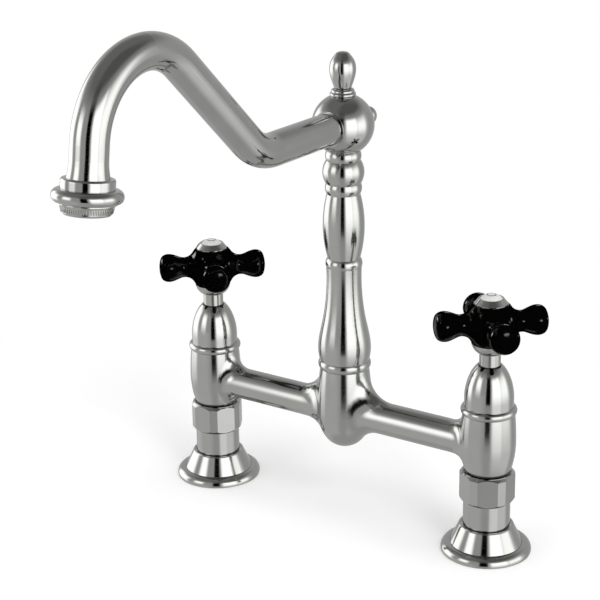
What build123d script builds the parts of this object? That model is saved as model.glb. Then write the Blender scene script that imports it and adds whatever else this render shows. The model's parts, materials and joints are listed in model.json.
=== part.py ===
from build123d import *
import os
from math import copysign, cos, hypot, radians, sin, sqrt

os.makedirs("parts", exist_ok=True)

# Bridge kitchen faucet. X runs along the bridge, the spout points along -Y at rest,
# Z is up, and the deck that the flanges stand on is the plane Z = 0.

# ---------------------------------------------------------------- driving dimensions (mm)
inlet_centres = 203.2       # standard 8 inch spacing of the two supply holes
bridge_height = 68.4        # centreline of the bridge arms above the deck
hub_height = 250.6          # centre of the ball-shaped spout hub above the deck

running_fit = 0.05          # radial play of a turning fit
slip_fit = 0.1              # radial play of pieces that are pushed or screwed together
turning_gap = 0.4           # radial air gap between pieces that turn past each other

# supply side of each leg
flange_radius = 27.4
flange_height = 17.2
flange_top_radius = 16.6
flange_bore_radius = 15.2
flange_wall = 1.5
rim_section_radius = 4.5    # round rim of the flange, in section
rim_centre_height = 1.1
crease_inset = 1.0          # crease between rim and cone, inside the rim's section centre
sleeve_radius = 14.2
sleeve_wall = 2.0
sleeve_gap = 0.6            # between the sleeve and the union nut
sleeve_edge = 0.5           # broken outer edge at the top of the sleeve
nut_drop = 34.4             # bottom of the union nut below the bridge centreline
nut_height = 17.9
nut_across_flats = 31.4
nut_across_corners = 33.2   # over the small flats that trim the six corners
nut_chamfer = 2.1
nut_foot_chamfer = 1.5
nut_floor = 4.0
nut_lip = 3.0               # unthreaded mouth at the top of the nut
socket_radius = 9.4         # minor radius of the half-inch female thread
socket_depth = 15.0
supply_bore_radius = 6.5
tail_neck_radius = 10.5
tail_shoulder_drop = 8.0    # neck of the tailpiece starts this far below the nut
tail_collar_radius = 12.6
tail_collar_height = 3.0
tail_washer_height = 1.5
shank_radius = 13.0         # male thread under each valve body

# cast bridge
arm_radius = 10.0
arm_bore_radius = 7.0
body_radius = 16.6          # widest radius of a valve body
body_crown = 1.8            # widest point above the bridge centreline
body_neck_radius = 13.9     # where the body enters the nut
body_top_radius = 15.0
body_bead_radius = 16.8
body_bead_height = 5.4
body_top = 25.7             # top face of a valve body above the bridge centreline
arm_fillet = 10.5
arm_root_radius = 12.0      # the arms grow to this radius inside the tee
arm_root_reach = 28.0       # where the growth starts, from the middle of the bridge
tee_radius = 17.1
tee_drop = 24.0             # foot of the tee's long round end below the bridge centreline
tee_neck_radius = 15.2
tee_top = 28.6              # top face of the tee above the bridge centreline
tee_fillet = 19.0
chamber_radius = 9.2        # cartridge chamber
seat_drop = 12.4            # cartridge seat below the bridge centreline
thread_relief = 2.0         # lead-in at the end of a threaded shank or socket

# bonnet and cartridge
bonnet_radius = 14.7
bonnet_base = 4.1           # straight foot under the dome
bonnet_dome = 24.6          # semi-axis of the elliptical dome
bonnet_height = 25.1
bonnet_wall = 1.8
bonnet_hole_radius = 6.75
bonnet_lip = 2.5             # straight part of the bonnet's hole
cartridge_wall = 1.9
cartridge_head_radius = 10.5
cartridge_head_height = 4.9
cartridge_neck_radius = 7.6
cartridge_neck_height = 11.0
window_width = 7.0          # side openings of the cartridge, towards the arms
window_height = 8.5
disc_height = 3.0
port_offset = 3.0           # middle of each disc opening from the stem's axis
port_length = 4.8
port_width = 2.6
seat_seal_height = 1.5
stem_radius = 4.95
stem_foot_height = 1.2
shoulder_rise = 12.0        # inner shoulder of the cartridge above the arm's bore
stem_oring_rise = 3.0       # stem's O-ring above the foot of the cartridge's neck
spline_radius = 4.0
oring_section = 0.65        # section radius of the stem and spigot O-rings
groove_half = 1.0           # half height of an O-ring groove
shelf_height = 3.0          # threaded shelf inside the bonnet
shelf_rise = 6.0            # middle of the shelf above the foot of the cartridge's neck

# cross handle, heights above the top of the bonnet
handle_height = 26.0        # centreline of the four arms
handle_reach = 34.0
handle_end_radius = 8.9
handle_neck_radius = 6.2
handle_neck_reach = 18.5    # thinnest place of each arm, from the stem's axis
hub_bottom = 12.3
hub_top = 38.1
hub_radius = 15.0
handle_fillet = 7.0
cup_bottom = 7.5
cup_radius = 11.2
cup_lip = 1.7               # rise of the cup's lip round the foot of the hub
insert_radius = 5.3         # metal core that the hub is seated on
screw_radius = 2.05
screw_length = 12.0
screw_head_height = 2.8
screw_slot_width = 1.2
pocket_depth = 9.8          # pocket in the hub over the handle screw
pocket_radius = 7.0
bezel_radius = 9.75
bezel_top_radius = 7.0
bezel_height = 3.4
bezel_skirt = 5.0           # part of the bezel that plugs into the hub's pocket
bezel_skirt_wall = 1.3
index_radius = 6.5
index_thickness = 1.3
index_crown = 2.6
left_handle_turn = 42.5     # resting turn of each cross about its stem, degrees
right_handle_turn = 44.5
left_nut_turn = 59.0        # resting turn of each union nut, degrees
right_nut_turn = 30.0

# column
column_bore_radius = 5.0
column_shank_radius = 11.0
column_shank_depth = 14.0
column_seal_height = 2.0
foot_bead_radius = 16.4
foot_bead_height = 5.4
belly_radius = 16.35
waist_radius = 10.7
middle_bead_radius = 11.3
middle_bead_height = 5.6
barrel_radius = 12.7
quirk_radius = 10.2         # narrow places between the turned forms
upper_bead_radius = 11.15
upper_bead_height = 6.3
knob_radius = 12.6          # round turning under the collar
knob_height = 14.3
collar_radius = 10.9
collar_height = 5.7
collar_drop = 15.8          # top of the column's collar below the hub centre
spigot_radius = 7.6
lower_seal_rise = 4.0       # spigot's lower O-ring above the collar
water_groove_half = 5.5     # half height of the groove that feeds the spout
water_groove_depth = 1.0
cross_drill_radius = 3.2
spigot_neck_radius = 4.5
snap_groove_depth = 0.7
snap_ring_radius = 5.7
snap_ring_opening = 2.4      # gap through which the ring is sprung open
snap_ring_height = 0.7
glide_washer_radius = 9.2
glide_washer_height = 0.5

# spout
ball_radius = 18.7
web_height = 2.0            # web in the hub that the snap ring bears on
lip_radius = 10.6           # short round boss where the tube enters the ball
lip_reach = 2.2
tube_radius = 9.8
tube_wall = 1.4
tube_seat = 10.2            # step in the hub that the tube stands on
level_run = 71.5            # straight level run measured from the column's axis
rise_angle = 43.2
rise_run = 76.0
foot_bend_radius = 35.0
crown_bend_radius = 41.0
fall_bend_radius = 44.0
outlet_drop = 25.0          # straight drop from the last bend to the middle of the outlet ring
outlet_tilt = 8.0           # lean of the outlet away from the column, degrees
flare_radius = 10.9
flare_run = 9.0
finial_radius = 7.9
finial_height = 26.1
finial_dome = 10.4          # from the widest place of the finial to its top
finial_seat_radius = 7.0
finial_bead_radius = 7.8
finial_bead_height = 2.2
finial_waist_radius = 4.9
finial_waist_height = 4.2
finial_plug_radius = 6.1
finial_plug_depth = 3.4
plug_ball_radius = 5.9
plug_reach = ball_radius + 7.8  # middle of the plug's ball behind the column's axis
plug_neck_radius = 3.2
plug_shank_radius = 3.1
plug_foot_radius = 4.6
band_radius = 13.6          # upper band of the outlet collar
band_height = 8.7
band_round = 1.2
ring_radius = 18.0
ring_section_radius = 3.5
thread_depth = 0.7
gasket_height = 1.5
aerator_radius = 14.0
aerator_bottom_radius = 12.4
aerator_height = 5.3
insert_height = 4.4
insert_hole_radius = 0.9
inner_hole_circle = 3.2
outer_hole_circle = 6.6

# ---------------------------------------------------------------- derived places
leg_places = {"left": -inlet_centres / 2, "right": inlet_centres / 2}
handle_turns = {"left": left_handle_turn, "right": right_handle_turn}
nut_turns = {"left": left_nut_turn, "right": right_nut_turn}
nut_bottom = bridge_height - nut_drop
nut_top = nut_bottom + nut_height
collar_bottom = nut_bottom + nut_floor
shank_bottom = collar_bottom + tail_collar_height + tail_washer_height
valve_top = bridge_height + body_top
seat = bridge_height - seat_drop
bonnet_top = valve_top + bonnet_height
tee_face = bridge_height + tee_top
collar_top = hub_height - collar_drop


def turning_plane(x):
    """Upright plane through a vertical axis at x: local X is the radius, local Y is height."""
    return Plane(origin=(x, 0, 0), x_dir=(1, 0, 0), z_dir=(0, -1, 0))


def cast_plane(x):
    """Upright plane through a vertical axis at x that looks along the bridge."""
    return Plane(origin=(x, 0, 0), x_dir=(0, 1, 0), z_dir=(1, 0, 0))


def upright(x):
    """Vertical axis at x."""
    return Axis((x, 0, 0), (0, 0, 1))


def save(piece, name):
    """Label a finished piece and write it as its own node."""
    piece.part.label = name
    export_step(piece.part, f"parts/{name}.step")


def ring(x, inner, outer, bottom, top):
    """Plain turned ring, returned as its builder."""
    with BuildPart() as turned:
        with BuildSketch(turning_plane(x)):
            with Locations(((inner + outer) / 2, (bottom + top) / 2)):
                Rectangle(outer - inner, top - bottom)
        revolve(axis=upright(x))
    return turned


# ---------------------------------------------------------------- supply side of each leg
rim_axis_radius = flange_radius - rim_section_radius
rim_wall_radius = rim_section_radius - flange_wall
crease_radius = rim_axis_radius - crease_inset
crease_height = rim_centre_height + sqrt(rim_section_radius**2 - crease_inset**2)
tail_body_radius = sleeve_radius - sleeve_wall - slip_fit
tail_step = nut_bottom - tail_shoulder_drop
sleeve_top = nut_bottom - sleeve_gap
neck_bore_radius = tail_neck_radius + 2 * slip_fit
flats_radius = nut_across_flats / 2
corner_radius = nut_across_corners / 2

for side, x in leg_places.items():
    with BuildPart() as flange:
        with BuildSketch(turning_plane(x)):
            with BuildLine():
                RadiusArc(
                    (crease_radius, crease_height), (flange_radius, rim_centre_height),
                    rim_section_radius)
                RadiusArc(
                    (rim_axis_radius, rim_centre_height + rim_wall_radius),
                    (flange_radius - flange_wall, rim_centre_height), rim_wall_radius)
                Polyline(
                    (flange_radius, rim_centre_height), (flange_radius - 0.2, 0),
                    (flange_radius - flange_wall, 0), (flange_radius - flange_wall, rim_centre_height))
                Polyline(
                    (rim_axis_radius, rim_centre_height + rim_wall_radius),
                    (crease_radius - flange_wall, crease_height - flange_wall / 2),
                    (flange_bore_radius, flange_height - flange_wall),
                    (flange_bore_radius, flange_height), (flange_top_radius - 0.4, flange_height),
                    (flange_top_radius, flange_height - 0.5), (crease_radius, crease_height))
            make_face()
        revolve(axis=upright(x))
    save(flange, f"flange_{side}")

    with BuildPart() as riser_sleeve:
        with BuildSketch(turning_plane(x)):
            with BuildLine():
                Polyline(
                    (sleeve_radius - sleeve_wall, 0), (sleeve_radius, 0),
                    (sleeve_radius, sleeve_top - sleeve_edge),
                    (sleeve_radius - sleeve_edge, sleeve_top),
                    (sleeve_radius - sleeve_wall, sleeve_top), close=True)
            make_face()
        revolve(axis=upright(x))
    save(riser_sleeve, f"riser_sleeve_{side}")

    with BuildPart() as tailpiece:
        with BuildSketch(turning_plane(x)):
            with BuildLine():
                Polyline(
                    (socket_radius, 0), (tail_body_radius, 0), (tail_body_radius, tail_step),
                    (tail_neck_radius, tail_step + 1.5), (tail_neck_radius, collar_bottom),
                    (tail_collar_radius, collar_bottom),
                    (tail_collar_radius, collar_bottom + tail_collar_height),
                    (supply_bore_radius, collar_bottom + tail_collar_height),
                    (supply_bore_radius, socket_depth + thread_relief), (socket_radius, socket_depth),
                    close=True)
            make_face()
        revolve(axis=upright(x))
    save(tailpiece, f"tailpiece_{side}")

    tail_washer = ring(
        x, supply_bore_radius + 0.5, tail_collar_radius,
        collar_bottom + tail_collar_height, shank_bottom)
    save(tail_washer, f"tail_washer_{side}")

    with BuildPart() as union_nut:
        with BuildSketch(Plane(origin=(x, 0, nut_bottom))):
            RegularPolygon(flats_radius, 6, major_radius=False, rotation=nut_turns[side])
            RegularPolygon(
                corner_radius, 6, major_radius=False, rotation=nut_turns[side] + 30,
                mode=Mode.INTERSECT)
        extrude(amount=nut_height)
        with BuildSketch(turning_plane(x)):
            with BuildLine():
                Polyline(
                    (flats_radius - 0.5, nut_top), (corner_radius + 0.6, nut_top - nut_chamfer),
                    (2 * corner_radius, nut_top - nut_chamfer), (2 * corner_radius, nut_top),
                    close=True)
            make_face()
            with BuildLine():
                Polyline(
                    (flats_radius, nut_bottom),
                    (corner_radius + 0.4, nut_bottom + nut_foot_chamfer),
                    (2 * corner_radius, nut_bottom + nut_foot_chamfer),
                    (2 * corner_radius, nut_bottom), close=True)
            make_face()
        revolve(axis=upright(x), mode=Mode.SUBTRACT)
        with BuildSketch(turning_plane(x)):
            with BuildLine():
                Polyline(
                    (0, nut_bottom), (neck_bore_radius, nut_bottom),
                    (neck_bore_radius, collar_bottom), (shank_radius + slip_fit, collar_bottom),
                    (shank_radius + slip_fit, nut_top - nut_lip),
                    (body_neck_radius + 0.4, nut_top - nut_lip), (body_neck_radius + 0.4, nut_top),
                    (0, nut_top), close=True)
            make_face()
        revolve(axis=upright(x), mode=Mode.SUBTRACT)
    save(union_nut, f"union_nut_{side}")

# ---------------------------------------------------------------- cast bridge
body_crown_height = bridge_height + body_crown
body_tail = nut_top + 1.0   # the body's curve ends just above the nut
bead_round = body_bead_height / 2
bead_wall_radius = body_bead_radius - bead_round
shank_foot = tee_face - column_shank_depth
column_socket_radius = column_shank_radius + slip_fit
with BuildPart() as bridge_body:
    for side, x in leg_places.items():
        reach = copysign(arm_root_reach, x)
        with BuildSketch(turning_plane(0)):
            with BuildLine():
                Spline(
                    (0, bridge_height + arm_root_radius),
                    (0.45 * reach, bridge_height + 0.5 * (arm_radius + arm_root_radius)),
                    (reach, bridge_height + arm_radius),
                    tangents=((copysign(1, x), 0), (copysign(1, x), 0)))
                Polyline(
                    (reach, bridge_height + arm_radius), (x, bridge_height + arm_radius),
                    (x, bridge_height), (0, bridge_height), (0, bridge_height + arm_root_radius))
            make_face()
        revolve(axis=Axis((0, 0, bridge_height), (1, 0, 0)))
    with BuildSketch(cast_plane(0)):
        with BuildLine():
            Line((0, bridge_height - tee_drop), (0, tee_face))
            Line((0, tee_face), (tee_neck_radius, tee_face))
            TangentArc((tee_radius, bridge_height), (tee_neck_radius, tee_face), tangent=(0, 1))
            Spline(
                (0, bridge_height - tee_drop),
                (0.73 * tee_radius, bridge_height - 0.73 * tee_drop),
                (tee_radius, bridge_height), tangents=((1, 0), (0, 1)))
        make_face()
    revolve(axis=upright(0))
    for x in leg_places.values():
        with BuildSketch(cast_plane(x)):
            with BuildLine():
                TangentArc(
                    (body_radius, body_crown_height), (body_top_radius, valve_top),
                    tangent=(0, 1))
                TangentArc(
                    (body_radius, body_crown_height), (body_neck_radius, body_tail),
                    tangent=(0, -1))
                Polyline(
                    (body_neck_radius, body_tail), (shank_radius, nut_top - thread_relief),
                    (shank_radius, shank_bottom), (0, shank_bottom), (0, valve_top),
                    (body_top_radius, valve_top))
            make_face()
        revolve(axis=upright(x))
    # the arms flow into the tee and the bodies with large cast fillets
    meeting_edges = bridge_body.edges().filter_by(GeomType.BSPLINE)
    body_edges = meeting_edges.filter_by(lambda edge: abs(edge.center().X) > inlet_centres / 4)
    fillet(body_edges, arm_fillet)
    tee_edges = bridge_body.edges().filter_by(GeomType.BSPLINE).filter_by(
        lambda edge: abs(edge.center().X) < tee_radius)
    fillet(tee_edges, tee_fillet)
    for x in leg_places.values():
        # room for the union nut round the tail of the body
        with BuildSketch(cast_plane(x)):
            with BuildLine():
                Polyline(
                    (body_neck_radius, nut_top + turning_gap),
                    (nut_across_corners, nut_top + turning_gap),
                    (nut_across_corners, shank_bottom), (shank_radius, shank_bottom),
                    (shank_radius, nut_top - thread_relief), close=True)
            make_face()
        revolve(axis=upright(x), mode=Mode.SUBTRACT)
        # half-round bead at the top
        with BuildSketch(cast_plane(x)):
            with BuildLine():
                Polyline(
                    (bead_wall_radius, valve_top), (chamber_radius + 2, valve_top),
                    (chamber_radius + 2, valve_top - body_bead_height),
                    (bead_wall_radius, valve_top - body_bead_height))
                ThreePointArc(
                    (bead_wall_radius, valve_top - body_bead_height),
                    (body_bead_radius, valve_top - bead_round), (bead_wall_radius, valve_top))
            make_face()
        revolve(axis=upright(x))
        # cartridge chamber and supply bore
        with BuildSketch(cast_plane(x)):
            with BuildLine():
                Polyline(
                    (0, shank_bottom), (supply_bore_radius, shank_bottom), (supply_bore_radius, seat),
                    (chamber_radius, seat), (chamber_radius, valve_top), (0, valve_top), close=True)
            make_face()
        revolve(axis=upright(x), mode=Mode.SUBTRACT)
    # waterways through both arms and up the tee
    with BuildSketch(Plane(origin=(-inlet_centres / 2, 0, bridge_height), z_dir=(1, 0, 0))):
        Circle(arm_bore_radius)
    extrude(amount=inlet_centres, mode=Mode.SUBTRACT)
    with BuildSketch(cast_plane(0)):
        with BuildLine():
            Polyline(
                (0, bridge_height), (arm_bore_radius, bridge_height),
                (arm_bore_radius, shank_foot - column_seal_height),
                (column_socket_radius, shank_foot - column_seal_height),
                (column_socket_radius, tee_face), (0, tee_face), close=True)
        make_face()
    revolve(axis=upright(0), mode=Mode.SUBTRACT)
save(bridge_body, "bridge_body")

# ---------------------------------------------------------------- valves, bonnets and handles
cartridge_bore_radius = chamber_radius - slip_fit - cartridge_wall
fixed_bottom = seat + seat_seal_height
turning_bottom = fixed_bottom + disc_height + running_fit
turning_top = turning_bottom + disc_height
window_middle = turning_top + window_height / 2 + 1.0
neck_bottom = valve_top + cartridge_head_height
neck_top = neck_bottom + cartridge_neck_height
stem_shoulder = bridge_height + arm_bore_radius + shoulder_rise
oring_height = neck_bottom + stem_oring_rise
groove_depth = 2 * oring_section + slip_fit
arm_root = 3.0              # the arms of the cross start inside its hub
stem_foot_radius = cartridge_bore_radius - turning_gap
stem_waist_radius = spline_radius - 0.8
bonnet_centre = valve_top + bonnet_base
top_ratio = (bonnet_height - bonnet_base) / bonnet_dome
bonnet_top_radius = bonnet_radius * sqrt(1 - top_ratio**2)
shank_outer_radius = bonnet_hole_radius - turning_gap
hub_floor = bonnet_top + hub_bottom
arm_level = bonnet_top + handle_height
hub_face = bonnet_top + hub_top
cup_start = bonnet_top + cup_bottom
cup_rim = hub_floor + cup_lip
screw_shelf = hub_face - pocket_depth
core_top = screw_shelf - 0.3
screw_top = screw_shelf + screw_head_height
screw_head_radius = pocket_radius - 0.3
bezel_top = hub_face + bezel_height
bezel_skirt_radius = pocket_radius - slip_fit
index_seat = bezel_top - 0.2 - index_thickness


def ellipse_point(radius, height, centre, level):
    """Point of an upright half ellipse at a level above its centre."""
    return (radius * sqrt(1 - (level / height) ** 2), centre + level)


for side, x in leg_places.items():
    seat_seal = ring(x, supply_bore_radius - 1.0, cartridge_bore_radius, seat, fixed_bottom)
    save(seat_seal, f"seat_seal_{side}")

    # each disc has two opposite quarter openings, turned out of line when the valve is shut
    for name, bottom, turn in (
            ("fixed_disc", fixed_bottom, 0), ("rotating_disc", turning_bottom, 90)):
        with BuildPart() as disc:
            with BuildSketch(Plane(origin=(x, 0, bottom))):
                Circle(cartridge_bore_radius - running_fit)
            extrude(amount=disc_height)
            with BuildSketch(Plane(origin=(x, 0, bottom))):
                with PolarLocations(port_offset, 2, start_angle=turn):
                    SlotOverall(port_length, port_width, rotation=90)
            extrude(amount=disc_height, mode=Mode.SUBTRACT)
        save(disc, f"{name}_{side}")

    with BuildPart() as cartridge_body:
        with BuildSketch(turning_plane(x)):
            with BuildLine():
                Polyline(
                    (cartridge_bore_radius, fixed_bottom), (chamber_radius - slip_fit, fixed_bottom),
                    (chamber_radius - slip_fit, valve_top), (cartridge_head_radius, valve_top),
                    (cartridge_head_radius, neck_bottom), (cartridge_neck_radius, neck_bottom),
                    (cartridge_neck_radius, neck_top), (stem_radius + running_fit, neck_top),
                    (stem_radius + running_fit, stem_shoulder),
                    (cartridge_bore_radius, stem_shoulder), close=True)
            make_face()
        revolve(axis=upright(x))
        # hexagon for the spanner
        with BuildSketch(Plane(origin=(x, 0, valve_top))):
            RegularPolygon(cartridge_head_radius, 6, major_radius=False)
            Circle(cartridge_neck_radius, mode=Mode.SUBTRACT)
        extrude(amount=cartridge_head_height)
        # side windows that let the water into the arm
        with BuildSketch(Plane(origin=(x, 0, window_middle), z_dir=(1, 0, 0))):
            Rectangle(window_width, window_height)
        extrude(amount=chamber_radius, both=True, mode=Mode.SUBTRACT)
    save(cartridge_body, f"cartridge_body_{side}")

    with BuildPart() as bonnet:
        with BuildSketch(turning_plane(x)):
            with BuildLine():
                Line((bonnet_radius, valve_top), (bonnet_radius, bonnet_centre))
                ThreePointArc(
                    (bonnet_radius, bonnet_centre),
                    ellipse_point(bonnet_radius, bonnet_dome, bonnet_centre, bonnet_dome * 0.36),
                    ellipse_point(bonnet_radius, bonnet_dome, bonnet_centre, bonnet_dome * 0.62))
                Spline(
                    ellipse_point(bonnet_radius, bonnet_dome, bonnet_centre, bonnet_dome * 0.62),
                    ellipse_point(bonnet_radius, bonnet_dome, bonnet_centre, bonnet_dome * 0.76),
                    (bonnet_top_radius, bonnet_top))
                Polyline(
                    (bonnet_top_radius, bonnet_top), (bonnet_hole_radius, bonnet_top - 0.3),
                    (bonnet_hole_radius, bonnet_top - bonnet_lip))
                inner_radius = bonnet_radius - bonnet_wall
                inner_dome = bonnet_dome - bonnet_wall
                ThreePointArc(
                    ellipse_point(inner_radius, inner_dome, bonnet_centre, inner_dome * 0.8),
                    ellipse_point(inner_radius, inner_dome, bonnet_centre, inner_dome * 0.5),
                    (inner_radius, bonnet_centre))
                Line(
                    (bonnet_hole_radius, bonnet_top - bonnet_lip),
                    ellipse_point(inner_radius, inner_dome, bonnet_centre, inner_dome * 0.8))
                Polyline(
                    (inner_radius, bonnet_centre), (inner_radius, valve_top),
                    (bonnet_radius, valve_top))
            make_face()
            # threaded shelf that holds the bonnet on the cartridge's neck
            shelf_radius = cartridge_neck_radius + slip_fit
            with Locations(((shelf_radius + inner_radius) / 2, neck_bottom + shelf_rise)):
                Rectangle(inner_radius - shelf_radius, shelf_height)
        revolve(axis=upright(x))
    save(bonnet, f"bonnet_{side}")

    with BuildPart() as valve_stem:
        with BuildSketch(turning_plane(x)):
            with BuildLine():
                Polyline(
                    (0, turning_top), (stem_foot_radius, turning_top),
                    (stem_foot_radius, turning_top + stem_foot_height),
                    (stem_waist_radius, turning_top + 2 * stem_foot_height),
                    (stem_waist_radius, stem_shoulder),
                    (stem_radius, stem_shoulder + 1.5), (stem_radius, oring_height - groove_half),
                    (stem_radius - groove_depth, oring_height - groove_half),
                    (stem_radius - groove_depth, oring_height + groove_half),
                    (stem_radius, oring_height + groove_half), (stem_radius, neck_top - 1.0),
                    (spline_radius, neck_top - 0.4), (spline_radius, screw_shelf - 1.0),
                    (screw_radius + slip_fit, screw_shelf - 1.0),
                    (screw_radius + slip_fit, screw_shelf - screw_length - 1.0),
                    (0, screw_shelf - screw_length - 2.0), close=True)
            make_face()
        revolve(axis=upright(x))
    save(valve_stem, f"valve_stem_{side}")

    with BuildPart() as stem_o_ring:
        with BuildSketch(turning_plane(x)):
            with Locations((stem_radius - oring_section, oring_height)):
                Circle(oring_section)
        revolve(axis=upright(x))
    save(stem_o_ring, f"stem_o_ring_{side}")

    with BuildPart() as handle_skirt:
        with BuildSketch(turning_plane(x)):
            with BuildLine():
                # plain shank, flared cup under the hub, splined core up inside the hub
                Polyline(
                    (spline_radius + slip_fit, neck_top + 1.5), (shank_outer_radius, neck_top + 1.5),
                    (shank_outer_radius, cup_start))
                ThreePointArc(
                    (shank_outer_radius, cup_start),
                    (shank_outer_radius + 0.55 * (cup_radius - shank_outer_radius),
                     cup_start + 0.3 * (cup_rim - cup_start)),
                    (cup_radius, cup_rim))
                Polyline(
                    (cup_radius, cup_rim), (cup_radius - 0.5, cup_rim),
                    (cup_radius - 0.5 - cup_lip, hub_floor), (insert_radius, hub_floor),
                    (insert_radius, core_top), (spline_radius + slip_fit, core_top),
                    (spline_radius + slip_fit, neck_top + 1.5))
            make_face()
        revolve(axis=upright(x))
    save(handle_skirt, f"handle_skirt_{side}")

    with BuildPart() as handle_cross:
        with BuildSketch(turning_plane(x)):
            with BuildLine():
                Polyline(
                    (cup_radius - 0.5, cup_rim), (cup_radius - 0.5 - cup_lip, hub_floor),
                    (0, hub_floor), (0, hub_face), (bezel_radius + 0.4, hub_face))
                Spline(
                    (bezel_radius + 0.4, hub_face),
                    (hub_radius - 1.0, arm_level + 0.5 * (hub_face - arm_level)),
                    (hub_radius, arm_level),
                    (hub_radius - 1.6, arm_level - 0.53 * (arm_level - hub_floor)),
                    (cup_radius - 0.5, cup_rim))
            make_face()
        revolve(axis=upright(x))
        for quarter in range(4):
            turn = radians(handle_turns[side] + 90 * quarter)
            arm_plane = Plane(
                origin=(x, 0, arm_level), x_dir=(cos(turn), sin(turn), 0),
                z_dir=(sin(turn), -cos(turn), 0))
            with BuildSketch(arm_plane):
                with BuildLine():
                    Spline(
                        (arm_root, handle_neck_radius + 1.2),
                        (handle_neck_reach, handle_neck_radius),
                        (0.86 * handle_reach, handle_end_radius),
                        (0.95 * handle_reach, 0.82 * handle_end_radius),
                        (0.988 * handle_reach, 0.45 * handle_end_radius), (handle_reach, 0),
                        tangents=((1, -0.12), (0, -1)))
                    Polyline(
                        (handle_reach, 0), (arm_root, 0), (arm_root, handle_neck_radius + 1.2))
                make_face()
            revolve(axis=Axis((x, 0, arm_level), (cos(turn), sin(turn), 0)))
        # an arm meets the hub along an edge whose middle lies off the stem's axis
        arm_edges = handle_cross.edges().filter_by(GeomType.BSPLINE).filter_by(
            lambda edge: hub_floor < edge.center().Z < hub_face
            and hypot(edge.center().X - x, edge.center().Y) > 0.7 * hub_radius
            and hypot(edge.center().X - x, edge.center().Y) < hub_radius)
        fillet(arm_edges, handle_fillet)
        with BuildSketch(turning_plane(x)):
            with BuildLine():
                Polyline(
                    (0, hub_floor), (insert_radius + slip_fit, hub_floor),
                    (insert_radius + slip_fit, screw_shelf), (pocket_radius, screw_shelf),
                    (pocket_radius, hub_face), (0, hub_face), close=True)
            make_face()
        revolve(axis=upright(x), mode=Mode.SUBTRACT)
    save(handle_cross, f"handle_cross_{side}")

    with BuildPart() as handle_screw:
        with BuildSketch(turning_plane(x)):
            with BuildLine():
                Polyline(
                    (0, screw_shelf - screw_length), (screw_radius, screw_shelf - screw_length),
                    (screw_radius, screw_shelf), (screw_head_radius, screw_shelf),
                    (screw_head_radius, screw_top - 1.2), (screw_head_radius - 1.0, screw_top),
                    (0, screw_top), close=True)
            make_face()
        revolve(axis=upright(x))
        with BuildSketch(Plane(origin=(x, 0, screw_top))):
            Rectangle(2 * screw_head_radius, screw_slot_width)
        extrude(amount=-screw_slot_width, mode=Mode.SUBTRACT)
    save(handle_screw, f"handle_screw_{side}")

    with BuildPart() as index_bezel:
        with BuildSketch(turning_plane(x)):
            with BuildLine():
                Polyline(
                    (bezel_skirt_radius - bezel_skirt_wall, hub_face - bezel_skirt),
                    (bezel_skirt_radius, hub_face - bezel_skirt), (bezel_skirt_radius, hub_face),
                    (bezel_radius, hub_face), (bezel_radius, hub_face + 0.4),
                    (bezel_top_radius + 0.3, bezel_top), (index_radius + running_fit, bezel_top),
                    (index_radius + running_fit, index_seat),
                    (bezel_skirt_radius - bezel_skirt_wall, index_seat), close=True)
            make_face()
        revolve(axis=upright(x))
    save(index_bezel, f"index_bezel_{side}")

    with BuildPart() as index_disc:
        with BuildSketch(turning_plane(x)):
            with BuildLine():
                disc_rim = index_seat + index_thickness
                Polyline(
                    (0, disc_rim + index_crown), (0, index_seat), (index_radius, index_seat),
                    (index_radius, disc_rim))
                TangentArc(
                    (0, disc_rim + index_crown), (index_radius, disc_rim), tangent=(1, 0))
            make_face()
        revolve(axis=upright(x))
    save(index_disc, f"index_disc_{side}")

# ---------------------------------------------------------------- column
lower_seal = collar_top + lower_seal_rise
upper_seal = hub_height + water_groove_half + 1.5
spigot_top = upper_seal + groove_half + 0.6
web_bottom = spigot_top + 0.3
web_top = web_bottom + web_height
snap_ring_bottom = web_top + 0.6
snap_ring_top = snap_ring_bottom + snap_ring_height
spigot_end = snap_ring_top + 0.8
turned_top = collar_top - collar_height - knob_height - upper_bead_height
turned_run = turned_top - tee_face
seal_floor_radius = spigot_radius - groove_depth
bore_top = hub_height + cross_drill_radius + 1.0


def column_point(radius, share):
    """Profile point at a share of the height between the tee and the upper bead."""
    return (radius, tee_face + share * turned_run)


column_seal = ring(
    0, arm_bore_radius + 0.5, column_shank_radius, shank_foot - column_seal_height, shank_foot)
save(column_seal, "column_seal")

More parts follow.
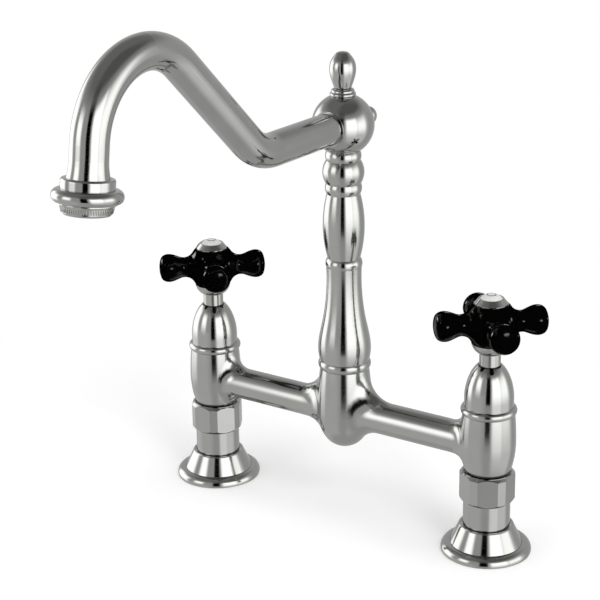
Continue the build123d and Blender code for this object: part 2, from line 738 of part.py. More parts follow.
with BuildPart() as spout_column:
    with BuildSketch(turning_plane(0)):
        with BuildLine():
            Polyline(
                (column_bore_radius, shank_foot), (column_shank_radius, shank_foot),
                (column_shank_radius, tee_face), (tee_neck_radius, tee_face))
            # bead at the foot, then the long baluster
            foot_bead_top = tee_face + foot_bead_height
            ThreePointArc(
                (tee_neck_radius, tee_face), (foot_bead_radius, tee_face + foot_bead_height / 2),
                (foot_bead_radius - 1.0, foot_bead_top))
            Spline(
                (foot_bead_radius - 1.0, foot_bead_top), column_point(belly_radius, 0.124),
                column_point(waist_radius + 0.48 * (belly_radius - waist_radius), 0.277),
                column_point(waist_radius + 0.07 * (belly_radius - waist_radius), 0.431),
                column_point(waist_radius, 0.508), column_point(waist_radius + 0.2, 0.588))
            # middle bead and barrel
            bead_foot = column_point(waist_radius + 0.2, 0.588)
            bead_top = (quirk_radius - 0.2, bead_foot[1] + middle_bead_height)
            ThreePointArc(
                bead_foot, (middle_bead_radius, bead_foot[1] + 0.46 * middle_bead_height), bead_top)
            ThreePointArc(
                bead_top, column_point(barrel_radius, 0.823), column_point(quirk_radius, 0.997))
            # upper bead, round knob and collar
            knob_foot = collar_top - collar_height - knob_height
            Line(column_point(quirk_radius, 0.997), (quirk_radius, turned_top))
            ThreePointArc(
                (quirk_radius, turned_top),
                (upper_bead_radius, turned_top + 0.46 * upper_bead_height),
                (quirk_radius + 0.4, knob_foot))
            ThreePointArc(
                (quirk_radius + 0.4, knob_foot), (knob_radius, knob_foot + 0.5 * knob_height),
                (quirk_radius + 0.1, collar_top - collar_height))
            ThreePointArc(
                (quirk_radius + 0.1, collar_top - collar_height),
                (collar_radius, collar_top - collar_height / 2), (quirk_radius - 0.2, collar_top))
            # spigot with its O-ring grooves, water groove and snap ring groove
            Polyline(
                (quirk_radius - 0.2, collar_top), (spigot_radius, collar_top),
                (spigot_radius, lower_seal - groove_half),
                (seal_floor_radius, lower_seal - groove_half),
                (seal_floor_radius, lower_seal + groove_half),
                (spigot_radius, lower_seal + groove_half),
                (spigot_radius, hub_height - water_groove_half),
                (spigot_radius - water_groove_depth, hub_height - water_groove_half),
                (spigot_radius - water_groove_depth, hub_height + water_groove_half),
                (spigot_radius, hub_height + water_groove_half),
                (spigot_radius, upper_seal - groove_half),
                (seal_floor_radius, upper_seal - groove_half),
                (seal_floor_radius, upper_seal + groove_half),
                (spigot_radius, upper_seal + groove_half),
                (spigot_radius, spigot_top), (spigot_neck_radius, spigot_top),
                (spigot_neck_radius, snap_ring_bottom - running_fit),
                (spigot_neck_radius - snap_groove_depth, snap_ring_bottom - running_fit),
                (spigot_neck_radius - snap_groove_depth, snap_ring_top + running_fit),
                (spigot_neck_radius, snap_ring_top + running_fit),
                (spigot_neck_radius, spigot_end), (0, spigot_end), (0, bore_top),
                (column_bore_radius, bore_top), (column_bore_radius, shank_foot))
        make_face()
    revolve(axis=upright(0))
    # two cross drillings let the water out into the hub
    for across in ((1, 0, 0), (0, 1, 0)):
        with BuildSketch(Plane(origin=(0, 0, hub_height), z_dir=across)):
            Circle(cross_drill_radius)
        extrude(amount=spigot_radius, both=True, mode=Mode.SUBTRACT)
save(spout_column, "spout_column")

for name, level in (("spout_o_ring_lower", lower_seal), ("spout_o_ring_upper", upper_seal)):
    with BuildPart() as spout_o_ring:
        with BuildSketch(turning_plane(0)):
            with Locations((spigot_radius - oring_section, level)):
                Circle(oring_section)
        revolve(axis=upright(0))
    save(spout_o_ring, name)

with BuildPart() as snap_ring:
    with BuildSketch(Plane(origin=(0, 0, snap_ring_bottom))):
        Circle(snap_ring_radius)
        Circle(spigot_neck_radius - snap_groove_depth + running_fit, mode=Mode.SUBTRACT)
        with Locations((0, snap_ring_radius)):
            Rectangle(snap_ring_opening, snap_ring_radius, mode=Mode.SUBTRACT)
    extrude(amount=snap_ring_height)
save(snap_ring, "snap_ring")

glide_washer = ring(
    0, spigot_radius + 0.2, glide_washer_radius, collar_top, collar_top + glide_washer_height)
save(glide_washer, "glide_washer")

# ---------------------------------------------------------------- spout
hub_foot = collar_top + glide_washer_height + slip_fit
hub_crown = hub_height + sqrt(ball_radius**2 - finial_seat_radius**2)
foot_radius = sqrt(ball_radius**2 - (hub_height - hub_foot) ** 2)
lip_start = sqrt(ball_radius**2 - lip_radius**2) - 1.5
lip_end = lip_start + lip_reach


def level_plane(reach):
    """Plane across the spout's level run, at a distance in front of the column's axis."""
    return Plane(origin=(0, -reach, hub_height), x_dir=(1, 0, 0), z_dir=(0, -1, 0))


with BuildPart() as spout_hub:
    with BuildSketch(turning_plane(0)):
        with BuildLine():
            Polyline(
                (foot_radius, hub_foot), (0, hub_foot), (0, hub_crown), (finial_seat_radius, hub_crown))
            ThreePointArc(
                (finial_seat_radius, hub_crown), (ball_radius, hub_height), (foot_radius, hub_foot))
        make_face()
    revolve(axis=upright(0))
    with BuildSketch(level_plane(lip_start)):
        Circle(lip_radius)
    extrude(amount=lip_end - lip_start)
    with BuildSketch(turning_plane(0)):
        with BuildLine():
            Polyline(
                (0, hub_foot), (spigot_radius + running_fit, hub_foot),
                (spigot_radius + running_fit, web_bottom), (spigot_neck_radius + slip_fit, web_bottom),
                (spigot_neck_radius + slip_fit, web_top), (finial_plug_radius + slip_fit, web_top),
                (finial_plug_radius + slip_fit, hub_crown), (0, hub_crown), close=True)
        make_face()
    revolve(axis=upright(0), mode=Mode.SUBTRACT)
    with BuildSketch(level_plane(0)):
        Circle(water_groove_half)
    extrude(amount=lip_end, mode=Mode.SUBTRACT)
    with BuildSketch(level_plane(tube_seat)):
        Circle(tube_radius + running_fit)
    extrude(amount=lip_end, mode=Mode.SUBTRACT)
    with BuildSketch(level_plane(0)):
        Circle(plug_shank_radius + slip_fit)
    extrude(amount=-ball_radius, mode=Mode.SUBTRACT)
save(spout_hub, "spout_hub")


def along(start, heading, length):
    """Point a given length on from a start point, headings measured up from level."""
    return (start[0] + length * cos(radians(heading)), start[1] + length * sin(radians(heading)))


def bend(start, heading, turn, radius):
    """Middle and end points of an arc that leaves start along heading and turns by turn."""
    side = 1 if turn > 0 else -1
    centre = along(start, heading + 90 * side, radius)
    middle = along(centre, heading - 90 * side + turn / 2, radius)
    return middle, along(centre, heading - 90 * side + turn, radius)


# the tube's centreline, as distance in front of the column's axis and height
run_start = (tube_seat + 0.1, hub_height)
foot_start = (level_run, hub_height)
foot_middle, foot_end = bend(foot_start, 0, rise_angle, foot_bend_radius)
crown_start = along(foot_end, rise_angle, rise_run)
crown_middle, crown_top = bend(crown_start, rise_angle, -rise_angle, crown_bend_radius)
fall_middle, fall_start = bend(crown_top, 0, outlet_tilt - 90, fall_bend_radius)
flare_top = band_height + flare_run
tube_stop = 2.0
flare_start = along(fall_start, outlet_tilt - 90, outlet_drop - flare_top)
ring_middle = along(fall_start, outlet_tilt - 90, outlet_drop)
spout_plane = Plane(origin=(0, 0, 0), x_dir=(0, -1, 0), z_dir=(-1, 0, 0))
# outlet pieces are turned about this axis, with heights measured up it from the ring's middle
outlet_axis = Axis(
    (0, -ring_middle[0], ring_middle[1]),
    (0, sin(radians(outlet_tilt)), cos(radians(outlet_tilt))))
outlet_plane = Plane(
    origin=outlet_axis.position, x_dir=(1, 0, 0),
    z_dir=(0, -cos(radians(outlet_tilt)), sin(radians(outlet_tilt))))

with BuildPart() as spout_tube:
    with BuildLine(spout_plane) as centreline:
        Line(run_start, foot_start)
        ThreePointArc(foot_start, foot_middle, foot_end)
        Line(foot_end, crown_start)
        ThreePointArc(crown_start, crown_middle, crown_top)
        ThreePointArc(crown_top, fall_middle, fall_start)
        Line(fall_start, flare_start)
    with BuildSketch(level_plane(run_start[0])):
        Circle(tube_radius)
        Circle(tube_radius - tube_wall, mode=Mode.SUBTRACT)
    sweep(path=centreline.line)
    with BuildSketch(outlet_plane):
        with BuildLine():
            TangentArc((tube_radius, flare_top), (flare_radius, band_height), tangent=(0, -1))
            Polyline(
                (flare_radius, band_height), (flare_radius, tube_stop),
                (flare_radius - tube_wall, tube_stop), (flare_radius - tube_wall, band_height))
            TangentArc(
                (tube_radius - tube_wall, flare_top), (flare_radius - tube_wall, band_height),
                tangent=(0, -1))
            Line((tube_radius - tube_wall, flare_top), (tube_radius, flare_top))
        make_face()
    revolve(axis=outlet_axis)
save(spout_tube, "spout_tube")

finial_waist = hub_crown + finial_waist_height
finial_top = hub_crown + finial_height
bead_edge_radius = finial_bead_radius - 0.4
with BuildPart() as finial:
    with BuildSketch(turning_plane(0)):
        with BuildLine():
            Polyline(
                (0, hub_crown - finial_plug_depth), (finial_plug_radius, hub_crown - finial_plug_depth),
                (finial_plug_radius, hub_crown), (bead_edge_radius, hub_crown))
            ThreePointArc(
                (bead_edge_radius, hub_crown), (finial_bead_radius, hub_crown + finial_bead_height / 2),
                (bead_edge_radius - 0.5, hub_crown + finial_bead_height))
            ThreePointArc(
                (bead_edge_radius - 0.5, hub_crown + finial_bead_height),
                (bead_edge_radius - 0.45, hub_crown + finial_bead_height + 0.8),
                (finial_waist_radius, finial_waist))
            Spline(
                (finial_waist_radius, finial_waist),
                (finial_radius, finial_top - finial_dome),
                (sqrt(0.75) * finial_radius, finial_top - 0.5 * finial_dome),
                (0.6 * finial_radius, finial_top - 0.2 * finial_dome), (0, finial_top),
                tangents=((0.35, 1), (-1, 0)))
            Line((0, finial_top), (0, hub_crown - finial_plug_depth))
        make_face()
    revolve(axis=upright(0))
save(finial, "finial")

plug_seat = ball_radius - 0.1
neck_join = plug_reach - sqrt(plug_ball_radius**2 - plug_neck_radius**2)
with BuildPart() as rear_plug:
    with BuildSketch(Plane(origin=(0, 0, hub_height), x_dir=(0, 1, 0), z_dir=(1, 0, 0))):
        with BuildLine():
            Polyline(
                (plug_reach, 0), (spigot_radius + 1.4, 0), (spigot_radius + 1.4, plug_shank_radius),
                (plug_seat, plug_shank_radius), (plug_seat, plug_foot_radius),
                (plug_seat + 1.2, plug_foot_radius), (plug_seat + 2.4, plug_neck_radius),
                (neck_join, plug_neck_radius))
            ThreePointArc(
                (neck_join, plug_neck_radius), (plug_reach, plug_ball_radius),
                (plug_reach + plug_ball_radius, 0))
            Line((plug_reach + plug_ball_radius, 0), (plug_reach, 0))
        make_face()
    revolve(axis=Axis((0, 0, hub_height), (0, 1, 0)))
save(rear_plug, "rear_plug")

# ---------------------------------------------------------------- outlet
collar_bore = flare_radius + slip_fit
thread_radius = collar_bore + thread_depth
ring_axis_radius = ring_radius - ring_section_radius
lip_bottom = -ring_section_radius - 0.4
aerator_top = lip_bottom - slip_fit
aerator_bottom = lip_bottom - aerator_height
gasket_bottom = tube_stop - gasket_height
mesh_radius = flare_radius - tube_wall - 0.4


def turned_outlet(inner, outer, bottom, top):
    """Plain ring on the outlet's axis, returned as its builder."""
    with BuildPart() as turned:
        with BuildSketch(outlet_plane):
            with Locations(((inner + outer) / 2, (bottom + top) / 2)):
                Rectangle(outer - inner, top - bottom)
        revolve(axis=outlet_axis)
    return turned


with BuildPart() as outlet_collar:
    with BuildSketch(outlet_plane):
        with BuildLine():
            Polyline(
                (collar_bore, lip_bottom), (ring_axis_radius + 0.3, lip_bottom),
                (ring_axis_radius + 0.3, 0), (band_radius, 0), (band_radius, band_height - band_round))
            RadiusArc(
                (band_radius, band_height - band_round), (band_radius - band_round, band_height),
                -band_round)
            Polyline(
                (band_radius - band_round, band_height), (collar_bore, band_height),
                (collar_bore, lip_bottom))
        make_face()
        with Locations((ring_axis_radius, 0)):
            Circle(ring_section_radius)
        with Locations(((collar_bore + thread_radius) / 2, (lip_bottom + tube_stop) / 2)):
            Rectangle(thread_radius - collar_bore, tube_stop - lip_bottom, mode=Mode.SUBTRACT)
    revolve(axis=outlet_axis)
save(outlet_collar, "outlet_collar")

aerator_gasket = turned_outlet(
    flare_radius - tube_wall - 0.6, thread_radius - slip_fit, gasket_bottom, tube_stop)
save(aerator_gasket, "aerator_gasket")

with BuildPart() as aerator_housing:
    with BuildSketch(outlet_plane):
        with BuildLine():
            Polyline(
                (mesh_radius + slip_fit, gasket_bottom), (thread_radius - slip_fit, gasket_bottom),
                (thread_radius - slip_fit, aerator_top), (aerator_radius, aerator_top))
            ThreePointArc(
                (aerator_radius, aerator_top),
                (0.42 * aerator_radius + 0.58 * aerator_bottom_radius,
                 aerator_top - 0.4 * aerator_height),
                (aerator_bottom_radius + 0.2, aerator_bottom + 0.9))
            Polyline(
                (aerator_bottom_radius + 0.2, aerator_bottom + 0.9),
                (aerator_bottom_radius - 0.7, aerator_bottom),
                (mesh_radius - 1.0, aerator_bottom),
                (mesh_radius - 1.0, aerator_bottom + 1.0),
                (mesh_radius + slip_fit, aerator_bottom + 1.0),
                (mesh_radius + slip_fit, gasket_bottom))
        make_face()
    revolve(axis=outlet_axis)
save(aerator_housing, "aerator_housing")

with BuildPart() as aerator_insert:
    with BuildSketch(Plane(
            origin=outlet_axis.position + outlet_axis.direction * (aerator_bottom + 1.0),
            x_dir=(1, 0, 0), z_dir=outlet_axis.direction)):
        Circle(mesh_radius)
        for radius, count in ((inner_hole_circle, 6), (outer_hole_circle, 12)):
            with PolarLocations(radius, count):
                Circle(insert_hole_radius, mode=Mode.SUBTRACT)
        Circle(insert_hole_radius, mode=Mode.SUBTRACT)
    extrude(amount=insert_height)
save(aerator_insert, "aerator_insert")
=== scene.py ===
# %% [markdown]
# # Bridge kitchen faucet
#
# A deck-mounted kitchen faucet in satin nickel: two legs, a cast bridge between them, a turned
# column and a swivelling spout, with cross handles of black porcelain. The solid model is
# already made and true to size. This lesson dresses it: it sets the camera and the light,
# gives every piece its finish, and models the small trim that the solid model leaves out.

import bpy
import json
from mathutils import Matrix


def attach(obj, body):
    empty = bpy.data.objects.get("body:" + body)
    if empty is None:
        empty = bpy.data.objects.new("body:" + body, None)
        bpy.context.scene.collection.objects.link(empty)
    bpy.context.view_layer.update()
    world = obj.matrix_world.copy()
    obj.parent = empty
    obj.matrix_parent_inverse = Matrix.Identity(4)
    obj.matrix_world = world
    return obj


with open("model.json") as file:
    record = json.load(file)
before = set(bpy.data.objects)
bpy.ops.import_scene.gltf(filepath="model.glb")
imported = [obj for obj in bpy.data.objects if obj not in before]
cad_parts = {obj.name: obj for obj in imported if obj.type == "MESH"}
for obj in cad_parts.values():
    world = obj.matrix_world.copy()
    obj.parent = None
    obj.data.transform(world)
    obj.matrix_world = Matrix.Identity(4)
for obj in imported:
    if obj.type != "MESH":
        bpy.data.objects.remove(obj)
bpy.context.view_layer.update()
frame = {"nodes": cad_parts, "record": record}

import json
from math import cos, pi, radians, sin, sqrt

import bpy
from mathutils import Matrix, Vector

nodes = frame["nodes"]

# %% [markdown]
# ## The camera
#
# The faucet was photographed from its front right, a little above. The camera is placed by
# its azimuth and elevation round the object, because those two angles can be read off any
# product photograph: the ellipses of the round rims give the elevation, and the slant of the
# bridge gives the azimuth. A long lens keeps the two legs almost the same size. The spout
# reaches to the left, so the camera looks at a point to the left of the column.


# %% Camera
def metres(millimetres):
    """Millimetres as Blender's metres."""
    return millimetres / 1000


camera_azimuth = radians(34.955)
camera_elevation = radians(19.134)
camera_roll = radians(-0.9)
camera_distance = 1.0339
aim_sideways = metres(-27.1)
aim_height = metres(140.9)
lens_length = 101.208

back = Vector((
    sin(camera_azimuth) * cos(camera_elevation),
    -cos(camera_azimuth) * cos(camera_elevation),
    sin(camera_elevation)))
level_right = Vector((cos(camera_azimuth), sin(camera_azimuth), 0))
level_up = back.cross(level_right)
right = level_right * cos(camera_roll) + level_up * sin(camera_roll)
up = level_up * cos(camera_roll) - level_right * sin(camera_roll)
aim = Vector((aim_sideways * right.x, aim_sideways * right.y, aim_height))

camera = bpy.data.objects.new("camera", bpy.data.cameras.new("camera"))
bpy.context.scene.collection.objects.link(camera)
camera.data.lens = lens_length
camera.data.sensor_width = 36
camera.data.clip_start = 0.05
camera.data.clip_end = 50
camera.matrix_world = Matrix((
    (right.x, up.x, back.x, 0), (right.y, up.y, back.y, 0), (right.z, up.z, back.z, 0),
    (0, 0, 0, 1)))
camera.location = aim + back * camera_distance
bpy.context.scene.camera = camera
bpy.context.scene.view_settings.view_transform = "Standard"
print("camera at", [round(v, 3) for v in camera.location])

# %% [markdown]
# ## Small helpers for shader nodes
#
# A material in Blender is a graph of nodes. Adding a node, setting its sockets and linking
# them takes three lines each time, so a few helpers do it. A value given to a helper is
# either a plain number or the output of another node, and feed knows what to do with each.


# %% Node helpers
def add_node(tree, kind, values=(), **settings):
    """Add a shader node; values feeds input sockets by name or number."""
    node = tree.nodes.new(kind)
    for name, value in settings.items():
        setattr(node, name, value)
    for socket, value in dict(values).items():
        feed(tree, node.inputs[socket], value)
    return node


def feed(tree, socket, value):
    """Link a socket to another node's output, or set it to a plain value."""
    if isinstance(value, bpy.types.NodeSocket):
        tree.links.new(value, socket)
    else:
        socket.default_value = value


def calculate(tree, operation, first, second=0.0):
    """One step of arithmetic."""
    return add_node(
        tree, "ShaderNodeMath", {0: first, 1: second}, operation=operation).outputs[0]


def fade(tree, value, start, end, low=0.0, high=1.0):
    """Go smoothly from low to high while value goes from start to end."""
    return add_node(tree, "ShaderNodeMapRange", {
        "Value": value, "From Min": start, "From Max": end, "To Min": low, "To Max": high},
        interpolation_type="SMOOTHSTEP").outputs["Result"]


def new_tree(owner):
    """An empty node tree on a material or a world."""
    owner.use_nodes = True
    owner.node_tree.nodes.clear()
    return owner.node_tree


def finish_tree(tree, shader, kind="ShaderNodeOutputMaterial"):
    """Send a shader to the tree's output."""
    tree.links.new(shader, add_node(tree, kind).inputs["Surface"])


print("node helpers ready")

# %% [markdown]
# ## White surroundings
#
# The photograph has a plain white ground. Here the world is white where the camera, a
# mirror-like reflection or a transmitted ray looks at it, and a softer white for the light
# that it throws, so the ground can be pure white without flooding the faucet with light.

# %% World
white_seen = 1.0
white_thrown = 0.7


def seen_ray(tree):
    """One where the camera, a reflection or a transmitted ray looks, otherwise zero."""
    path = add_node(tree, "ShaderNodeLightPath")
    seen = calculate(
        tree, "MAXIMUM", path.outputs["Is Camera Ray"], path.outputs["Is Glossy Ray"])
    return calculate(tree, "MAXIMUM", seen, path.outputs["Is Transmission Ray"])


world = bpy.data.worlds.new("white_studio")
bpy.context.scene.world = world
tree = new_tree(world)
level = fade(tree, seen_ray(tree), 0.0, 1.0, white_thrown, white_seen)
ground = add_node(tree, "ShaderNodeBackground", {"Color": (1, 1, 1, 1), "Strength": level})
finish_tree(tree, ground.outputs[0], "ShaderNodeOutputWorld")
print("world", world.name, "shows", white_seen, "and throws", white_thrown)

# %% [markdown]
# ## The studio tent
#
# Polished metal has hardly any colour of its own: what it shows is the room. Product
# photographers stand a round tent of white cloth about it and light the cloth from outside,
# with gaps between the lamps, and those gaps are the dark stripes down every turned form.
# The tent here is a ball of cloth two metres in radius, far enough away to look the same
# from every part of the faucet. Each softbox behind the cloth is a soft-edged rectangle,
# placed by two angles: how far it stands to the camera's right, and how high it reaches.
# The cloth between them is dim, and dimmer still overhead.
#
# Flags are black cards that keep light off the cloth. One stands close to the camera and
# blocks a narrow strip altogether, which is the black stripe down every turned piece. Two
# thin ones above only dim it, and darken the crown of the spout and the top of the hub.

# %% Softboxes and flags
cloth_glow, overhead_glow = 0.56, 0.25
overhead_start, overhead_full = 24, 56

# Angles are in degrees from the camera's azimuth and from level. Light fades in over the two
# elevations of top, where it is gone and where it is full, and out again over those of foot.
# name, middle, half width, side blur, glow, top (gone, full), foot (full, gone)
softboxes = (
    ("key", 29.5, 20, 4, 1.45, (35, 22), (2, -40)),
    ("right", 70, 19, 8, 1.25, (32, 6), (-2, -30)),
    ("between", 54, 44, 12, 0.45, (36, 20), (-34, -70)),
    ("left", -60, 13, 6, 1.80, (38, 18), (13, -14)),
    ("far_left", -118.5, 23, 7, 1.75, (34, 16), (-6, -30)),
    ("low", -85, 55, 15, 0.16, (0, -10), (-50, -66)),
)

# name, middle, half width, side blur, share kept off, top (gone, full), foot (full, gone)
flags = (
    ("flag", -8.2, 10.2, 2.5, 1.0, (44, 28), (-18, -25)),
    ("high_flag", -8.2, 15, 6, 0.5, (60, 44), (34, 24)),
    ("top_flag", 45, 75, 25, 0.35, (90, 84), (54, 40)),
)
print("softboxes:", *(row[0] for row in softboxes), "flags:", *(row[0] for row in flags))

# %% Cloth
tent_radius = 2.0
tent_middle = 0.17


def soft_patch(tree, side, rise, middle, half_width, side_blur, strength, top, foot):
    """How strongly one softbox or flag acts at a place on the cloth."""
    off = calculate(tree, "ABSOLUTE", calculate(tree, "SUBTRACT", side, middle))
    across = fade(tree, off, half_width + side_blur, half_width - side_blur)
    below_top = fade(tree, rise, *top)
    above_foot = fade(tree, rise, foot[1], foot[0])
    inside = calculate(tree, "MULTIPLY", across, calculate(
        tree, "MULTIPLY", below_top, above_foot))
    return calculate(tree, "MULTIPLY", inside, float(strength))


def glow(tree, strength):
    """Plain white emission."""
    return add_node(tree, "ShaderNodeEmission", {
        "Color": (1, 1, 1, 1), "Strength": strength}).outputs[0]


tent_cloth = bpy.data.materials.new("tent_cloth")
tree = new_tree(tent_cloth)
place = add_node(tree, "ShaderNodeTexCoord").outputs["Object"]
outward = add_node(
    tree, "ShaderNodeVectorMath", {0: place, 1: (0, 0, -tent_middle)}, operation="ADD")
unit = add_node(tree, "ShaderNodeVectorMath", {0: outward.outputs[0]}, operation="NORMALIZE")
# turn the directions so that 0 lies behind the camera
turned = add_node(tree, "ShaderNodeVectorRotate", {
    "Vector": unit.outputs[0], "Angle": -camera_azimuth}, rotation_type="Z_AXIS")
axes = add_node(tree, "ShaderNodeSeparateXYZ", {0: turned.outputs[0]})
toward = calculate(tree, "MULTIPLY", axes.outputs["Y"], -1.0)
side = calculate(tree, "DEGREES", calculate(tree, "ARCTAN2", axes.outputs["X"], toward))
rise = calculate(tree, "DEGREES", calculate(tree, "ARCSINE", axes.outputs["Z"]))
level = fade(tree, rise, overhead_start, overhead_full, cloth_glow, overhead_glow)
for row in softboxes:
    level = calculate(tree, "ADD", level, soft_patch(tree, side, rise, *row[1:]))
for row in flags:
    kept = calculate(tree, "SUBTRACT", 1.0, soft_patch(tree, side, rise, *row[1:]))
    level = calculate(tree, "MULTIPLY", level, kept)
finish_tree(tree, glow(tree, level))
print(tent_cloth.name, "has", len(tree.nodes), "shader nodes")

# %% [markdown]
# ## The ball of the tent
#
# The tent is a plain sphere about the middle of the faucet. It is hidden from the camera, so
# that it lights the faucet and shows in its reflections alone. It is part of the stage, as
# the floor is, and not a piece of the faucet.

# %% Tent
bpy.ops.object.select_all(action="DESELECT")
bpy.ops.mesh.primitive_uv_sphere_add(
    segments=96, ring_count=48, radius=tent_radius, location=(0, 0, tent_middle))
tent = bpy.context.object
tent.name = "tent"
bpy.ops.object.transform_apply(location=True, rotation=True, scale=True)
bpy.ops.object.shade_smooth()
tent.data.materials.append(tent_cloth)
tent.visible_camera = False
print("tent radius", tent_radius, "m")

# %% [markdown]
# ## Lamps
#
# A large soft lamp overhead lights the floor, and a smaller one high at the right of the
# camera gives the shadows their direction. Both stay out of the reflections.


# %% Lamps
def hang_lamp(name, direction, elevation, distance, width, height, watts):
    """Rectangular area lamp aimed at the faucet, placed by angles from the camera's azimuth."""
    turn = camera_azimuth + radians(direction)
    rise = radians(elevation)
    outward = Vector((sin(turn) * cos(rise), -cos(turn) * cos(rise), sin(rise)))
    lamp = bpy.data.lights.new(name, "AREA")
    lamp.shape = "RECTANGLE"
    lamp.size, lamp.size_y, lamp.energy = width, height, watts
    holder = bpy.data.objects.new(name, lamp)
    bpy.context.scene.collection.objects.link(holder)
    holder.location = Vector((0, 0, tent_middle)) + outward * distance
    holder.rotation_euler = outward.to_track_quat("Z", "Y").to_euler()
    return holder


key = hang_lamp(
    "key_lamp", direction=27, elevation=40, distance=1.7, width=0.50, height=0.42, watts=6.0)
overhead = hang_lamp(
    "overhead_lamp", direction=0, elevation=88, distance=1.6, width=1.6, height=1.6, watts=13.0)
key.visible_glossy = overhead.visible_glossy = False
print("lamps", key.name, overhead.name)

# %% [markdown]
# ## Glints on the black crosses
#
# Glazed black porcelain would mirror the whole tent and turn grey. So the crosses are kept
# out of the tent's light, and get small glints of their own instead. Light linking does
# both: a light can be given a list of the things that it reaches, or leaves out.
#
# A flat lamp looks as bright as its watts spread over its area and over the directions it
# shines in, so a wanted brightness turns into watts with the area and pi.

# %% Glints
crosses = [nodes["handle_cross_left"], nodes["handle_cross_right"]]
glinting = bpy.data.collections.new("glinting")
shaded = bpy.data.collections.new("shaded_from_tent")
for cross in crosses:
    glinting.objects.link(cross)
    shaded.objects.link(cross)
for entry in shaded.collection_objects:
    entry.light_linking.link_state = "EXCLUDE"
tent.light_linking.receiver_collection = shaded

glint_distance = 1.5
# name, direction, elevation, width, height, brightness
glints = (
    ("key_glint", 25, 9, 0.40, 0.26, 4.2),
    ("right_glint", 97, 0, 0.16, 0.16, 3.5),
    ("left_glint", -60, 31, 0.15, 0.12, 3.5),
    ("far_glint", -122, 10, 0.46, 0.40, 4.5),
    ("back_glint", 165, 22, 0.34, 0.28, 1.8),
)
for name, direction, elevation, width, height, brightness in glints:
    glint = hang_lamp(
        name, direction, elevation, glint_distance, width, height,
        pi * width * height * brightness)
    glint.light_linking.receiver_collection = glinting
print(len(glints), "glints on", len(crosses), "crosses")

# %% [markdown]
# ## The floor
#
# The floor is a plain pale sheet that keeps the soft shadow of the two flanges. What the
# camera sees of it gets a little glow on top, and away from the faucet it changes smoothly
# into the white of the ground, so no far edge shows. The metal looks past the floor into
# the tent.

# %% Floor
floor_radius = 1.95
floor_drop = metres(0.2)
floor_grey = 0.86
floor_glow = 0.22
shadow_reach = (0.20, 0.42)

pale_floor = bpy.data.materials.new("pale_floor")
tree = new_tree(pale_floor)
paper = add_node(tree, "ShaderNodeBsdfDiffuse", {"Color": (floor_grey,) * 3 + (1,)})
seen = seen_ray(tree)
lifted = add_node(tree, "ShaderNodeAddShader", {
    0: paper.outputs[0], 1: glow(tree, calculate(tree, "MULTIPLY", seen, floor_glow))})
place = add_node(tree, "ShaderNodeTexCoord").outputs["Object"]
from_middle = add_node(tree, "ShaderNodeVectorMath", {0: place}, operation="LENGTH")
far = fade(tree, from_middle.outputs["Value"], *shadow_reach)
ground = add_node(tree, "ShaderNodeMixShader", {
    0: calculate(tree, "MULTIPLY", far, seen), 1: lifted.outputs[0],
    2: glow(tree, white_seen)})
finish_tree(tree, ground.outputs[0])

bpy.ops.object.select_all(action="DESELECT")
bpy.ops.mesh.primitive_circle_add(
    vertices=96, radius=floor_radius, fill_type="NGON", location=(0, 0, -floor_drop))
floor = bpy.context.object
floor.name = "floor"
floor.data.materials.append(pale_floor)
floor.visible_glossy = False
print("floor radius", floor_radius, "m, shadow kept out to", shadow_reach[1], "m")

# %% [markdown]
# ## Grain for any surface
#
# No real surface is the same all over. Every finish below starts from noise that is fixed
# to the piece, so that it travels with a moving piece, and uses it three times: the colour
# wanders a little, the roughness wanders a little, and a very shallow relief breaks up the
# reflections.


# %% Grain helpers
def surface_noise(tree, scale, detail, stretch=(1, 1, 1)):
    """Noise fixed to the piece, with its own stretch along X, Y and Z."""
    place = add_node(tree, "ShaderNodeTexCoord").outputs["Object"]
    mapping = add_node(tree, "ShaderNodeMapping", {"Vector": place, "Scale": stretch})
    noise = add_node(tree, "ShaderNodeTexNoise", {
        "Vector": mapping.outputs[0], "Scale": scale, "Detail": detail})
    return noise.outputs["Fac"]


def stepped(tree, value, low, high):
    """Stretch the middle of a noise between low and high."""
    return fade(tree, value, 0.3, 0.7, low, high)


def shades(tree, factor, colour, darker, lighter):
    """A colour that wanders a little between a darker and a lighter shade."""
    mix = add_node(tree, "ShaderNodeMix", {"Factor": factor}, data_type="RGBA")
    for socket, share in ((6, darker), (7, lighter)):
        mix.inputs[socket].default_value = tuple(min(1, share * part) for part in colour) + (1,)
    return mix.outputs[2]


def bumpy(tree, height, depth):
    """Surface direction under a shallow relief of the given depth."""
    return add_node(tree, "ShaderNodeBump", {"Distance": depth, "Height": height}).outputs[0]


print("grain helpers ready")

# %% [markdown]
# ## Satin nickel
#
# Satin nickel is bright nickel plate that has been brushed with a fine wheel. Seen close it
# still mirrors the room, but the fine scratches soften the mirror. A turned piece is brushed
# while it spins, so its scratches are rings; a cast piece is brushed by hand along its arms.
# Both are one recipe: a noise stretched out along the scratches, fed to a very shallow bump
# and to the roughness. The bent tube gets the same recipe without a direction, because no
# straight axis follows its bends.
#
# The column is the largest turned piece, and it mirrors the crosses from close by. Its
# rings of scratches smear such a mirror image upwards and downwards but not sideways. That
# needs an anisotropic shader: one that is rougher across the scratches than along them. It
# has to be told which way the piece turns, and a radial tangent about the upright axis does
# that, since the column stands on the middle of the model.

# %% Nickel
nickel_colour = (0.43, 0.435, 0.415)
brass_colour = (0.72, 0.54, 0.26)
steel_colour = (0.55, 0.55, 0.54)
quarter_turn = 0.25


